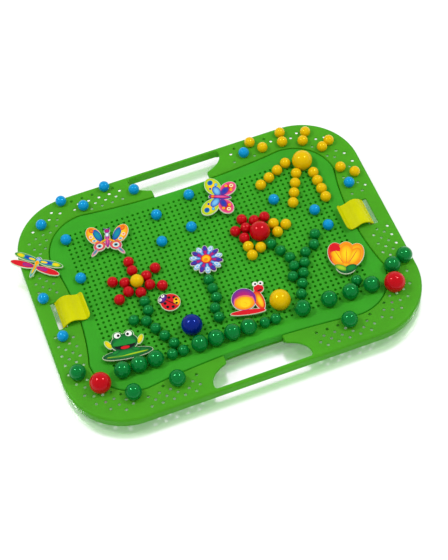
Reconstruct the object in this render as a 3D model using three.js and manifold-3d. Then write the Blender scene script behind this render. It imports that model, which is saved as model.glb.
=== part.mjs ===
// Peg mosaic board: a tray-shaped frame with two carry handles, a perforated
// pegboard panel that closes the storage well, two hinged clips that hold the
// panel down, mushroom-headed pegs and flat printed picture pegs.
//
// Millimetres, +Z up. X runs along the long side, +Y points away from the
// user, and the flat floor of the storage well rests on z = 0.
import * as THREE from 'three';
import { mergeVertices } from 'three/addons/utils/BufferGeometryUtils.js';
import Module from 'manifold-3d';

const wasm = await Module();
wasm.setup();

// ---------------------------------------------------------------- dimensions
const GAP = 0.3; // clearance kept between separate pieces
const OVERLAP = 0.5; // how far joined blocks reach into each other
const ABOVE = 22; // a height clear of the board, where upward cuts end

const FRAME = { length: 328, width: 246, corner: 56, top: 17, rimBottom: 7, wall: 2.4, plate: 2.4 };
const PANEL = {
  halfLength: 137, halfWidth: 97, corner: 40, waistX: 128.2, waistY: 88.4,
  top: 17, field: 15.5, underside: 12.6, skirtBottom: 8, skirt: 2,
};
const FIELD = { halfLength: 121, front: -78.5, rear: 83.5, corner: 4, slope: 5 };
const GUTTER = { clearance: 0.4, wall: 2.2, bottom: 5.6, floor: 7.6 };
const WELL = { outset: -2.6, wall: 2.2, top: 12.3, floor: 2 };
const HANDLE = { outer: 119.6, halfWidth: 44.5, shoulder: 111, inner: 99.8, notchHalf: 27, notchInner: 91 };
const CLIP = {
  hingeX: 145.2, hingeZ: 15.6, barrel: 1.9, centreY: 1, halfWidth: 14, thickness: 1.5,
  slotOuter: 151, slotInner: 142.8, slotHalf: 14.6, lug: 3.9, lugDepth: 5.2, lugBottom: 12.8,
};
const PIN = { radius: 0.9, halfLength: 17.4, clearance: 0.35 };
const HOLE_PITCH = 5;
const FIRST_HOLE = { x: -117.5, y: 80 }; // centre of the rear left hole of the field
const STEM = { radius: 1.1, length: 8.7 };
const HOLE_RADIUS = STEM.radius + 0.35;
const HEAD_RADIUS = { small: 4.95, button: 6, medium: 7.4, large: 9.6 };
const HEAD_CENTRE = 0.58; // height of the head's widest ring, in head radii
const BUTTON_RAISE = 4.1; // the flower's centre peg stands on its petals
const EDGE_RAISE = 0.8; // medium pegs in the front row stand on the foot of the border's slope
const FIGURE = { plateBottom: 19.3, thickness: 1.5, collar: 2.2 };

// ------------------------------------------------------------------ materials
function plastic(colour, roughness = 0.35) {
  return new THREE.MeshStandardMaterial({ color: colour, roughness, metalness: 0 });
}
const GREEN = plastic(0x4db52a);
const FIELD_GREEN = plastic(0x3aa63a);
const CLIP_YELLOW = plastic(0xd8d400);
const STEEL = new THREE.MeshStandardMaterial({ color: 0xb8bcc0, roughness: 0.3, metalness: 1 });
const PEG_COLOUR = {
  red: plastic(0xd0021f, 0.2),
  yellow: plastic(0xffc400, 0.2),
  blue: plastic(0x0a95e0, 0.2),
  navy: plastic(0x0b2fa0, 0.2),
  green: plastic(0x0a7a3a, 0.2),
};

// ------------------------------------------------------------------ solid tools
function toManifold(geometry) {
  const plain = geometry.clone();
  plain.deleteAttribute('normal');
  plain.deleteAttribute('uv');
  const merged = mergeVertices(plain, 1e-4);
  return new wasm.Manifold(new wasm.Mesh({
    numProp: 3,
    vertProperties: new Float32Array(merged.attributes.position.array),
    triVerts: new Uint32Array(merged.index.array),
  }));
}

function toGeometry(solid) {
  const mesh = solid.getMesh();
  const geometry = new THREE.BufferGeometry();
  geometry.setAttribute('position', new THREE.BufferAttribute(new Float32Array(mesh.vertProperties), 3));
  geometry.setIndex(new THREE.BufferAttribute(new Uint32Array(mesh.triVerts), 1));
  geometry.computeVertexNormals();
  return geometry;
}

// Straight prism of a closed outline between two heights.
function prism(points, bottom, top) {
  const geometry = new THREE.ExtrudeGeometry(new THREE.Shape(points), {
    depth: top - bottom, bevelEnabled: false,
  });
  geometry.translate(0, 0, bottom);
  return toManifold(geometry);
}

function box(xMin, xMax, yMin, yMax, zMin, zMax) {
  const geometry = new THREE.BoxGeometry(xMax - xMin, yMax - yMin, zMax - zMin);
  geometry.translate((xMin + xMax) / 2, (yMin + yMax) / 2, (zMin + zMax) / 2);
  return toManifold(geometry);
}

// Upright cylinder.
function post(x, y, radius, bottom, top, sides = 12) {
  const geometry = new THREE.CylinderGeometry(radius, radius, top - bottom, sides);
  geometry.rotateX(Math.PI / 2);
  geometry.translate(x, y, (bottom + top) / 2);
  return toManifold(geometry);
}

// Cylinder along Y.
function rod(x, y, z, radius, length, sides = 16) {
  const geometry = new THREE.CylinderGeometry(radius, radius, length, sides);
  geometry.translate(x, y, z);
  return toManifold(geometry);
}

// ------------------------------------------------------------------- outlines
function roundedRectangle(xMin, xMax, yMin, yMax, radius, steps = 10) {
  const shape = new THREE.Shape();
  shape.absarc(xMax - radius, yMax - radius, radius, 0, Math.PI / 2);
  shape.absarc(xMin + radius, yMax - radius, radius, Math.PI / 2, Math.PI);
  shape.absarc(xMin + radius, yMin + radius, radius, Math.PI, Math.PI * 1.5);
  shape.absarc(xMax - radius, yMin + radius, radius, Math.PI * 1.5, Math.PI * 2);
  return cleanLoop(shape.getPoints(steps));
}

// The panel is a rounded rectangle whose four sides are drawn in at the middle.
function panelOutline(steps = 8) {
  const { halfLength: a, halfWidth: b, corner: r, waistX, waistY } = PANEL;
  const shape = new THREE.Shape();
  shape.absarc(a - r, b - r, r, 0, Math.PI / 2);
  shape.bezierCurveTo(35, waistY, -35, waistY, -(a - r), b);
  shape.absarc(-(a - r), b - r, r, Math.PI / 2, Math.PI);
  shape.bezierCurveTo(-waistX, 25, -waistX, -25, -a, -(b - r));
  shape.absarc(-(a - r), -(b - r), r, Math.PI, Math.PI * 1.5);
  shape.bezierCurveTo(-35, -waistY, 35, -waistY, a - r, -b);
  shape.absarc(a - r, -(b - r), r, Math.PI * 1.5, Math.PI * 2);
  shape.bezierCurveTo(waistX, -25, waistX, 25, a, b - r);
  return cleanLoop(shape.getPoints(steps));
}

// Removes the repeated points where two curves of a loop meet.
function cleanLoop(points) {
  return points.filter((point, i) => {
    const next = points[(i + 1) % points.length];
    return point.distanceTo(next) > 1e-3;
  });
}

// Moves every point of a counter-clockwise loop outwards (or inwards when negative).
function offsetLoop(points, distance) {
  const count = points.length;
  return points.map((point, i) => {
    const before = points[(i + count - 1) % count];
    const after = points[(i + 1) % count];
    const inward = new THREE.Vector2(point.x - before.x, point.y - before.y).normalize();
    const outward = new THREE.Vector2(after.x - point.x, after.y - point.y).normalize();
    const normal = new THREE.Vector2(inward.y + outward.y, -inward.x - outward.x).normalize();
    const stretch = 1 / Math.max(0.5, normal.dot(new THREE.Vector2(outward.y, -outward.x)));
    return new THREE.Vector2(point.x + normal.x * distance * stretch, point.y + normal.y * distance * stretch);
  });
}

// Hand hole behind a grip bar, with a notch that reaches the panel's edge.
// side is +1 for the rear handle and -1 for the front one.
function handleOutline(side) {
  const { outer, halfWidth, shoulder, inner, notchHalf, notchInner } = HANDLE;
  const shape = new THREE.Shape();
  shape.moveTo(notchHalf, notchInner);
  shape.lineTo(notchHalf, inner);
  shape.quadraticCurveTo(40, 104, halfWidth - 1, shoulder);
  shape.quadraticCurveTo(halfWidth + 2, outer, halfWidth - 3, outer);
  shape.lineTo(-(halfWidth - 3), outer);
  shape.quadraticCurveTo(-(halfWidth + 2), outer, -(halfWidth - 1), shoulder);
  shape.quadraticCurveTo(-40, 104, -notchHalf, inner);
  shape.lineTo(-notchHalf, notchInner);
  const points = cleanLoop(shape.getPoints(5));
  return points.map((point) => new THREE.Vector2(point.x * side, point.y * side));
}

// ------------------------------------------------------------------ peg layout
function hole(column, row) {
  return { x: FIRST_HOLE.x + column * HOLE_PITCH, y: FIRST_HOLE.y - row * HOLE_PITCH, surface: PANEL.field };
}
function onFrame(x, y) {
  return { x, y, surface: FRAME.top };
}

const PEGS = [
  { name: 'peg_sun_large_yellow', size: 'large', colour: 'yellow', ...hole(46, 1) },
  { name: 'peg_large_yellow', size: 'large', colour: 'yellow', ...hole(31, 28) },
  { name: 'peg_large_blue', size: 'large', colour: 'navy', ...hole(15, 27) },
  { name: 'peg_blossom_large_red', size: 'large', colour: 'red', ...hole(33, 13) },
  { name: 'peg_corner_left_large_red', size: 'large', colour: 'red', ...onFrame(-134, -81) },
  { name: 'peg_corner_right_large_red', size: 'large', colour: 'red', ...onFrame(136.5, -81.5) },
  { name: 'peg_flower_centre_yellow', size: 'button', colour: 'yellow', raise: BUTTON_RAISE, ...hole(9, 15) },
  { name: 'peg_medium_green_frame_left', size: 'medium', colour: 'green', ...onFrame(-148.8, -63.3) },
  { name: 'peg_medium_green_front_1', size: 'medium', colour: 'green', ...onFrame(-110.5, -99.2) },
  { name: 'peg_medium_green_front_2', size: 'medium', colour: 'green', ...onFrame(85.5, -101.4) },
  { name: 'peg_medium_green_frame_right', size: 'medium', colour: 'green', ...onFrame(142.4, -63.2) },
  { name: 'peg_medium_green_row_left', size: 'medium', colour: 'green', raise: EDGE_RAISE, ...hole(1, 31) },
  { name: 'peg_medium_green_row_right', size: 'medium', colour: 'green', raise: EDGE_RAISE, ...hole(39, 31) },
  { name: 'peg_small_blue_left', size: 'small', colour: 'blue', ...hole(17, 2) },
  { name: 'peg_small_blue_right', size: 'small', colour: 'blue', ...hole(38, 7) },
  { name: 'peg_small_red', size: 'small', colour: 'red', ...hole(5, 13) },
  { name: 'peg_small_yellow', size: 'small', colour: 'yellow', ...hole(37, 3) },
  { name: 'peg_small_green', size: 'small', colour: 'green', ...hole(42, 17) },
];

// Picture pegs: each plate is a union of ellipses [x, y, halfX, halfY, turn in degrees]
// measured from the stem, so that the outline suggests the printed subject.
const FIGURES = [
  {
    name: 'figure_butterfly_left', colour: 0xf2b632, ...hole(7, 4), turn: -15,
    ellipses: [
      [-12.2, 5, 10.6, 6.8, 115], [12.2, 5, 10.6, 6.8, 65], [-7.2, -7.2, 6.2, 5.4, 35], [7.2, -7.2, 6.2, 5.4, -35],
      [-11.6, -13.4, 5.6, 2.1, 52], [11.6, -13.4, 5.6, 2.1, -52], [0, -1, 2.9, 9.4, 0], [0, 8.6, 3.1, 3.1, 0],
    ],
  },
  {
    name: 'figure_butterfly_rear', colour: 0xf2d21e, ...hole(29, 3), turn: 65,
    ellipses: [
      [-11.5, 7.5, 10.8, 7.4, 147], [11.5, 7.5, 10.8, 7.4, 33], [-10, -6.5, 9.2, 7, 38], [10, -6.5, 9.2, 7, -38],
      [0, 0, 3.2, 11, 0],
    ],
  },
  {
    name: 'figure_dragonfly', colour: 0xe0304a, ...onFrame(-150, 58), turn: -40,
    ellipses: [
      [-12, 4.2, 12, 3.7, -4], [12, 4.2, 12, 3.7, 4], [-12, -3.6, 12.2, 3.7, 2], [12, -3.6, 12.2, 3.7, -2],
      [0, -4.5, 2.3, 10.5, 0], [0, 5, 3.3, 3.3, 0],
    ],
  },
  { name: 'figure_daisy', colour: 0x6ea8e8, ...hole(22, 15), turn: 0, ellipses: daisyPetals(14) },
  {
    name: 'figure_ladybird', colour: 0xd02020, ...hole(13, 21), turn: 42,
    ellipses: [[0, -0.8, 9.2, 9.2, 0], [0, 6.6, 5.8, 4.6, 0]],
  },
  {
    name: 'figure_frog', colour: 0x1f9a3c, ...hole(3, 26), turn: -9,
    ellipses: [
      [0, 0.5, 12.4, 9.4, 0], [-5, 8, 4.8, 4.6, 0], [5, 8, 4.8, 4.6, 0], [-14, 1, 5.4, 2.8, 118],
      [14, 1, 5.4, 2.8, 62], [1.2, -11, 22.4, 5.6, 0],
    ],
  },
  {
    name: 'figure_snail', colour: 0xe4679c, ...hole(26, 26), turn: -13,
    ellipses: [
      [-4.5, 1.6, 11.4, 12, 0], [-2.5, -11.8, 16, 3.2, 0], [8.6, -1, 5, 11, 12], [9.8, 10.8, 5, 4.8, 0],
      [7.2, 16, 2.8, 2.8, 0], [12.2, 16, 2.8, 2.8, 0],
    ],
  },
  {
    name: 'figure_tulip', colour: 0xf28a1e, ...hole(45, 24), turn: -23,
    ellipses: [
      [-7.5, 3, 8.4, 13.4, 14], [8.5, 3, 8.2, 13, -14], [0.5, 5, 8.6, 12.4, 0], [0.5, -1, 13.6, 11, 0],
      [0.5, -9, 9.6, 9, 0],
    ],
  },
];

// A ring of petals about a round centre.
function daisyPetals(count) {
  const petals = [[0, 0, 9, 9, 0]];
  for (let i = 0; i < count; i += 1) {
    const turn = (360 / count) * i;
    const angle = THREE.MathUtils.degToRad(turn);
    petals.push([9.6 * Math.cos(angle), 9.6 * Math.sin(angle), 5.7, 3, turn]);
  }
  return petals;
}

// --------------------------------------------------------------------- pieces
function buildFrame() {
  const outline = roundedRectangle(
    -FRAME.length / 2, FRAME.length / 2, -FRAME.width / 2, FRAME.width / 2, FRAME.corner,
  );
  const panel = panelOutline();
  let solid = prism(outline, FRAME.rimBottom, FRAME.top);
  solid = solid.subtract(prism(offsetLoop(outline, -FRAME.wall), FRAME.rimBottom - 1, FRAME.top - FRAME.plate));
  solid = solid.add(prism(
    offsetLoop(panel, GUTTER.clearance + GUTTER.wall), GUTTER.bottom, FRAME.top - FRAME.plate / 2,
  ));
  solid = solid.subtract(prism(offsetLoop(panel, GUTTER.clearance), GUTTER.floor, ABOVE));
  solid = solid.add(prism(offsetLoop(panel, WELL.outset), 0, WELL.top));
  solid = solid.subtract(prism(offsetLoop(panel, WELL.outset - WELL.wall), WELL.floor, ABOVE));
  for (const side of [-1, 1]) {
    solid = solid.add(clipLugs(side));
    solid = solid.subtract(box(
      ...ordered(side * CLIP.slotInner, side * CLIP.slotOuter),
      CLIP.centreY - CLIP.slotHalf, CLIP.centreY + CLIP.slotHalf, CLIP.lugBottom - 1, ABOVE,
    ));
    solid = solid.subtract(rod(
      side * CLIP.hingeX, CLIP.centreY, CLIP.hingeZ, PIN.radius + PIN.clearance,
      2 * (PIN.halfLength + GAP),
    ));
    solid = solid.add(handleBar(side));
    solid = solid.subtract(prism(handleOutline(side), 0, ABOVE));
  }
  return drillHoles(solid, FRAME.top, 3);
}

// The rim is thickened behind each hand hole so that it can be carried.
function handleBar(side) {
  const reach = HANDLE.halfWidth + 6;
  const inner = side * (HANDLE.outer - OVERLAP);
  const outer = side * (FRAME.width / 2 - OVERLAP);
  return box(-reach, reach, ...ordered(inner, outer), FRAME.rimBottom, FRAME.top - OVERLAP);
}

// Two blocks under the frame's top hold the ends of the clip's hinge pin.
function clipLugs(side) {
  const x = ordered(side * CLIP.slotInner, side * (CLIP.slotInner + CLIP.lugDepth));
  const inner = CLIP.slotHalf - OVERLAP;
  const outer = CLIP.slotHalf + CLIP.lug;
  const bottom = CLIP.lugBottom;
  const top = FRAME.top - OVERLAP;
  return box(...x, CLIP.centreY + inner, CLIP.centreY + outer, bottom, top)
    .add(box(...x, CLIP.centreY - outer, CLIP.centreY - inner, bottom, top));
}

function ordered(a, b) {
  return a < b ? [a, b] : [b, a];
}

function buildPanel() {
  const outline = panelOutline();
  let solid = prism(outline, PANEL.skirtBottom, PANEL.top);
  solid = solid.subtract(prism(offsetLoop(outline, -PANEL.skirt), PANEL.skirtBottom - 1, PANEL.underside));
  solid = solid.subtract(fieldRecess());
  return drillHoles(solid, PANEL.field, PANEL.top - PANEL.underside);
}

// Sunken hole field with sloping sides.
function fieldRecess() {
  const depth = PANEL.top - PANEL.field;
  const points = roundedRectangle(
    -FIELD.halfLength, FIELD.halfLength, FIELD.front, FIELD.rear, FIELD.corner, 3,
  );
  const geometry = new THREE.ExtrudeGeometry(new THREE.Shape(points), {
    depth: 1, bevelEnabled: true, bevelThickness: depth, bevelSize: FIELD.slope, bevelSegments: 1,
  });
  geometry.translate(0, 0, PANEL.field + depth);
  return toManifold(geometry);
}

// Stem holes for the modelled pegs and pictures that stand on this surface.
function drillHoles(solid, surface, depth) {
  let drilled = solid;
  for (const item of [...PEGS, ...FIGURES]) {
    if (item.surface !== surface) continue;
    drilled = drilled.subtract(post(item.x, item.y, HOLE_RADIUS, surface - depth, surface + 1, 10));
  }
  return drilled;
}

// S-shaped leaf: it leaves the hinge, arches over the seam, presses on the
// panel's border and ends in a raised finger lip.
function buildClip(side) {
  const centreline = new THREE.SplineCurve([
    [CLIP.hingeX, 17.2], [142.6, 20.1], [138.5, 22.2], [134.5, 21.9], [130.5, 19.7], [127.3, 18.6],
    [124.2, 19.1], [121.3, 21.3],
  ].map(([x, z]) => new THREE.Vector2(x, z)));
  const middle = centreline.getPoints(18);
  const upper = [];
  const lower = [];
  middle.forEach((point, i) => {
    const tangent = centreline.getTangent(i / (middle.length - 1));
    const half = CLIP.thickness / 2;
    upper.push(new THREE.Vector2(point.x + tangent.y * half, point.y - tangent.x * half));
    lower.push(new THREE.Vector2(point.x - tangent.y * half, point.y + tangent.x * half));
  });
  const profile = [...upper, ...lower.reverse()].map((point) => new THREE.Vector2(side * point.x, point.y));
  if (THREE.ShapeUtils.isClockWise(profile)) profile.reverse();
  const leaf = new THREE.ExtrudeGeometry(new THREE.Shape(profile), {
    depth: 2 * CLIP.halfWidth, bevelEnabled: false,
  });
  leaf.rotateX(Math.PI / 2);
  leaf.translate(0, CLIP.centreY + CLIP.halfWidth, 0);
  const hingeX = side * CLIP.hingeX;
  return toManifold(leaf)
    .add(rod(hingeX, CLIP.centreY, CLIP.hingeZ, CLIP.barrel, 2 * CLIP.halfWidth))
    .subtract(rod(hingeX, CLIP.centreY, CLIP.hingeZ, PIN.radius + PIN.clearance, 2 * PIN.halfLength));
}

function buildPin(side) {
  return rod(side * CLIP.hingeX, CLIP.centreY, CLIP.hingeZ, PIN.radius, 2 * PIN.halfLength, 12);
}

// Mushroom peg: a ball cut flat underneath, on a straight stem.
function buildPeg({ x, y, surface, size, raise = 0 }) {
  const radius = HEAD_RADIUS[size];
  const sides = radius > HEAD_RADIUS.small ? 16 : 12;
  const rings = radius > HEAD_RADIUS.small ? 6 : 5;
  const base = surface + GAP + raise;
  const baseRadius = radius * Math.sqrt(1 - HEAD_CENTRE * HEAD_CENTRE);
  const startAngle = -Math.asin(HEAD_CENTRE);
  const profile = [
    new THREE.Vector2(0, surface - STEM.length),
    new THREE.Vector2(STEM.radius, surface - STEM.length),
    new THREE.Vector2(STEM.radius, base),
    new THREE.Vector2(baseRadius, base),
  ];
  for (let i = 1; i <= rings; i += 1) {
    const angle = startAngle + (i / rings) * (Math.PI / 2 - startAngle);
    const ringRadius = i === rings ? 0 : radius * Math.cos(angle);
    profile.push(new THREE.Vector2(ringRadius, base + radius * (HEAD_CENTRE + Math.sin(angle))));
  }
  const geometry = new THREE.LatheGeometry(profile, sides);
  geometry.rotateX(Math.PI / 2);
  geometry.translate(x, y, 0);
  return toManifold(geometry);
}

// Flat picture plate on a peg stem, with a collar that holds it above the board.
function buildFigure({ x, y, surface, turn, ellipses }) {
  const { plateBottom, thickness, collar } = FIGURE;
  let solid = post(0, 0, STEM.radius, surface - STEM.length, plateBottom + 0.5, 10)
    .add(post(0, 0, collar, surface + GAP, plateBottom + 0.5, 10));
  for (const [cx, cy, halfX, halfY, tilt] of ellipses) {
    const plate = new THREE.CylinderGeometry(1, 1, thickness, 20);
    plate.rotateX(Math.PI / 2);
    plate.scale(halfX, halfY, 1);
    plate.rotateZ(THREE.MathUtils.degToRad(tilt));
    plate.translate(cx, cy, plateBottom + thickness / 2);
    solid = solid.add(toManifold(plate));
  }
  return solid.rotate([0, 0, turn]).translate([x, y, 0]);
}

// ------------------------------------------------------------------- assembly
const group = new THREE.Group();
group.name = 'peg_mosaic_board';

function addPiece(name, solid, material) {
  const mesh = new THREE.Mesh(toGeometry(solid), material);
  mesh.name = name;
  group.add(mesh);
}

addPiece('frame', buildFrame(), GREEN);
addPiece('pegboard_panel', buildPanel(), FIELD_GREEN);
addPiece('clip_left', buildClip(-1), CLIP_YELLOW);
addPiece('clip_right', buildClip(1), CLIP_YELLOW);
addPiece('clip_pin_left', buildPin(-1), STEEL);
addPiece('clip_pin_right', buildPin(1), STEEL);
for (const figure of FIGURES) {
  addPiece(figure.name, buildFigure(figure), plastic(figure.colour, 0.4));
}
for (const peg of PEGS) {
  addPiece(peg.name, buildPeg(peg), PEG_COLOUR[peg.colour]);
}

export default group;
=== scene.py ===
"""Peg mosaic board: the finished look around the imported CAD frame.

Outlines and profiles are written in millimetres and turned into metres when a mesh is made.
"""
import math
import random

import bmesh
import bpy
from mathutils import Matrix, Vector


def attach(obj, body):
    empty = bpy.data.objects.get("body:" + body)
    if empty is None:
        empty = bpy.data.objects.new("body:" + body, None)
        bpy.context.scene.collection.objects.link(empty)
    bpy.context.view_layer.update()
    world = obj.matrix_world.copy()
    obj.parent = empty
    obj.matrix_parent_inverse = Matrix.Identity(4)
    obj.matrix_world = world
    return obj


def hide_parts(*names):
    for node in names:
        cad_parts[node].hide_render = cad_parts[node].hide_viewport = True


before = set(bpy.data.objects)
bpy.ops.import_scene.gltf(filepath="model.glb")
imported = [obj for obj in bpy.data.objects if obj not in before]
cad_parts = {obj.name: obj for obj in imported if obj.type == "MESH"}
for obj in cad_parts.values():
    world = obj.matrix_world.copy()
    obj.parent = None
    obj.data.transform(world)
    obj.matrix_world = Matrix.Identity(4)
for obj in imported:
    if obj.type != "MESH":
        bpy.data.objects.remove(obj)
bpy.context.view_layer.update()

MM = 0.001
SEED = 7
random.seed(SEED)

# ---------------------------------------------------------------- dimensions
FRAME_LENGTH, FRAME_WIDTH, FRAME_CORNER = 328, 246, 56
FRAME_TOP, RIM_BOTTOM, RIM_WALL, RIM_ROUNDING = 17, 7, 2.2, 2.6
PLATE_UNDERSIDE = 14.9
PANEL_LENGTH, PANEL_WIDTH, PANEL_CORNER = 274, 194, 40
PANEL_WAIST_X, PANEL_WAIST_Y = 128.2, 88.4
WAIST_REACH_X, WAIST_REACH_Y = 35, 25
FIELD_TOP, FIELD_UNDERSIDE, SKIRT_BOTTOM, SKIRT_WALL = 15.5, 12.6, 8, 2
WELL_TOP = 12.3
FIELD_HALF_LENGTH, FIELD_FRONT, FIELD_REAR = 121, -78.5, 83.5
PITCH, COLUMNS, ROWS = 5, 48, 32
FIRST_HOLE_X, FIRST_HOLE_Y = -117.5, 80
HOLE_RADIUS, PERFORATION_RADIUS = 1.25, 1.35
STEM_RADIUS, STEM_LENGTH, HEAD_GAP = 1.1, 8.7, 0.3
HEAD_RADIUS = {"small": 4.95, "button": 6, "medium": 7.4, "large": 9.4}
HEAD_CENTRE, HEAD_EDGE, HEAD_EDGE_TURN = 0.58, 0.06, 0.09
BUTTON_RAISE, EDGE_RAISE = 4.1, 0.8
HINGE_X, HINGE_Z, CLIP_Y, CLIP_HALF_WIDTH, CLIP_THICKNESS = 145.2, 15.6, 1, 14, 1.5
SLOT_INNER, SLOT_OUTER, SLOT_HALF = 142.8, 151, 14.6
PIN_HALF_LENGTH, PIN_BORE_RADIUS, BARREL_RADIUS = 17.4, 1.25, 1.9
LUG_BOTTOM, LUG_DEPTH, LUG_WIDTH, LUG_OVERLAP = 12.8, 5.2, 3.9, 0.5
GRIP_HALF_LENGTH, GRIP_INNER = 50.5, 119.1
PERFORATION_RELIEF, HOLE_CHAMFER = 0.7, 0.2
FLANGE_HOLE_SIDES, FIELD_HOLE_SIDES = 16, 12
PRINT_STEP = 0.02
FIELD_CORNER, LEAF_CORNER = 5, 3.2
PLATE_BOTTOM, PLATE_THICKNESS, PLATE_BORDER, COLLAR_RADIUS = 19.3, 1.5, 0.5, 2.2

# -------------------------------------------------------------------- camera
CAMERA_AZIMUTH, CAMERA_ELEVATION, CAMERA_ROLL = -15.72, 56.43, 5.5
CAMERA_DISTANCE = 1338.9
CAMERA_TARGET = Vector((0.42, -18.42, 15.5))
LENS_IN_PICTURE_HEIGHTS = 2.702


def make_camera():
    """A long lens from the front left, rolled a little, as the picture was composed."""
    azimuth = math.radians(CAMERA_AZIMUTH)
    elevation = math.radians(CAMERA_ELEVATION)
    roll = math.radians(CAMERA_ROLL)
    out = Vector((
        math.sin(azimuth) * math.cos(elevation),
        -math.cos(azimuth) * math.cos(elevation),
        math.sin(elevation),
    ))
    across = (-out).cross(Vector((0, 0, 1))).normalized()
    down = (-out).cross(across)
    right = math.cos(roll) * across + math.sin(roll) * down
    up = math.sin(roll) * across - math.cos(roll) * down
    data = bpy.data.cameras.new("camera")
    data.sensor_fit = "VERTICAL"
    data.sensor_height = 24
    data.lens = LENS_IN_PICTURE_HEIGHTS * data.sensor_height
    data.clip_end = 20
    camera = bpy.data.objects.new("camera", data)
    turn = Matrix((right, up, out)).transposed()
    place = (CAMERA_TARGET + out * CAMERA_DISTANCE) * MM
    camera.matrix_world = Matrix.Translation(place) @ turn.to_4x4()
    bpy.context.scene.collection.objects.link(camera)
    bpy.context.scene.camera = camera


make_camera()


# ----------------------------------------------------------------- materials
CLOUD_SCALE, SMEAR_SCALE, GRAIN_SCALE = 45, 130, 1400
CLOUD_DARK, CLOUD_LIGHT = 0.94, 1.06
POLISH_BELOW, POLISH_ABOVE = 0.05, 0.07
GRAIN_HEIGHT = 0.0002
SPREAD_SHARE = 0.35
PASSING_PALENESS = 0.6


def srgb(red, green, blue):
    """A display colour, 0 to 255, as the linear colour that a shader wants."""
    values = []
    for channel in (red, green, blue):
        level = channel / 255
        values.append(level / 12.92 if level <= 0.04045 else ((level + 0.055) / 1.055) ** 2.4)
    return (*values, 1)


def mixed(colour, other, share):
    return tuple(a + (b - a) * share for a, b in zip(colour, other))


def add_noise(tree, coordinates, scale, detail):
    noise = tree.nodes.new("ShaderNodeTexNoise")
    noise.inputs["Scale"].default_value = scale
    noise.inputs["Detail"].default_value = detail
    tree.links.new(coordinates.outputs["Object"], noise.inputs["Vector"])
    return noise


def add_range(tree, source, low, high):
    mapped = tree.nodes.new("ShaderNodeMapRange")
    mapped.inputs["From Min"].default_value = 0.3
    mapped.inputs["From Max"].default_value = 0.7
    mapped.inputs["To Min"].default_value = low
    mapped.inputs["To Max"].default_value = high
    tree.links.new(source.outputs["Fac"], mapped.inputs["Value"])
    return mapped


def plastic(name, colour, roughness=0.3, grain=0.05, depth=0.0, gloss=0.2, colour_attribute=None,
            shine=(1, 1, 1), through=0.0):
    """Moulded plastic: cloudy pigment, uneven polish, and a fine moulded grain.

    depth is how far light spreads inside it in metres; shine tints its reflections;
    through is the share of light that passes its surface instead of turning back.
    """
    material = bpy.data.materials.new(name)
    material.use_nodes = True
    tree = material.node_tree
    shader = tree.nodes["Principled BSDF"]
    coordinates = tree.nodes.new("ShaderNodeTexCoord")

    clouds = add_noise(tree, coordinates, CLOUD_SCALE, 3)
    tone = add_range(tree, clouds, 0, 1)
    mix = tree.nodes.new("ShaderNodeMix")
    mix.data_type = "RGBA"
    mix.inputs[6].default_value = shaded(colour, CLOUD_DARK / (1 - through))
    mix.inputs[7].default_value = shaded(colour, CLOUD_LIGHT / (1 - through))
    tree.links.new(tone.outputs["Result"], mix.inputs[0])
    if colour_attribute:
        ink = tree.nodes.new("ShaderNodeVertexColor")
        ink.layer_name = colour_attribute
        tint = tree.nodes.new("ShaderNodeMix")
        tint.data_type = "RGBA"
        tint.blend_type = "MULTIPLY"
        tint.inputs[0].default_value = 1
        tree.links.new(mix.outputs[2], tint.inputs[6])
        tree.links.new(ink.outputs["Color"], tint.inputs[7])
        tree.links.new(tint.outputs[2], shader.inputs["Base Color"])
    else:
        tree.links.new(mix.outputs[2], shader.inputs["Base Color"])

    smears = add_noise(tree, coordinates, SMEAR_SCALE, 4)
    polish = add_range(tree, smears, roughness - POLISH_BELOW, roughness + POLISH_ABOVE)
    tree.links.new(polish.outputs["Result"], shader.inputs["Roughness"])

    grains = add_noise(tree, coordinates, GRAIN_SCALE, 2)
    bump = tree.nodes.new("ShaderNodeBump")
    bump.inputs["Strength"].default_value = grain
    bump.inputs["Distance"].default_value = GRAIN_HEIGHT
    tree.links.new(grains.outputs["Fac"], bump.inputs["Height"])
    tree.links.new(bump.outputs["Normal"], shader.inputs["Normal"])

    shader.inputs["Specular IOR Level"].default_value = gloss
    shader.inputs["Specular Tint"].default_value = (*shine, 1)
    if depth:
        shader.inputs["Subsurface Weight"].default_value = SPREAD_SHARE
        shader.inputs["Subsurface Radius"].default_value = (1, 1, 1)
        shader.inputs["Subsurface Scale"].default_value = depth
    if through:
        let_light_through(tree, shader, colour, through)
    return material


def let_light_through(tree, shader, colour, share):
    """Lets a share of the light pass, in a paler shade of the plastic's own colour."""
    passing = tree.nodes.new("ShaderNodeBsdfTranslucent")
    strongest = max(colour[:3])
    pale = [(channel / strongest) ** PASSING_PALENESS for channel in colour[:3]]
    passing.inputs["Color"].default_value = (*pale, 1)
    blend = tree.nodes.new("ShaderNodeMixShader")
    blend.inputs[0].default_value = share
    tree.links.new(shader.outputs[0], blend.inputs[1])
    tree.links.new(passing.outputs[0], blend.inputs[2])
    tree.links.new(blend.outputs[0], tree.nodes["Material Output"].inputs["Surface"])


def shaded(colour, factor):
    return (*(channel * factor for channel in colour[:3]), 1)


def steel(name):
    material = plastic(name, srgb(184, 188, 192), 0.3, 0.1)
    material.node_tree.nodes["Principled BSDF"].inputs["Metallic"].default_value = 1
    return material


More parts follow.
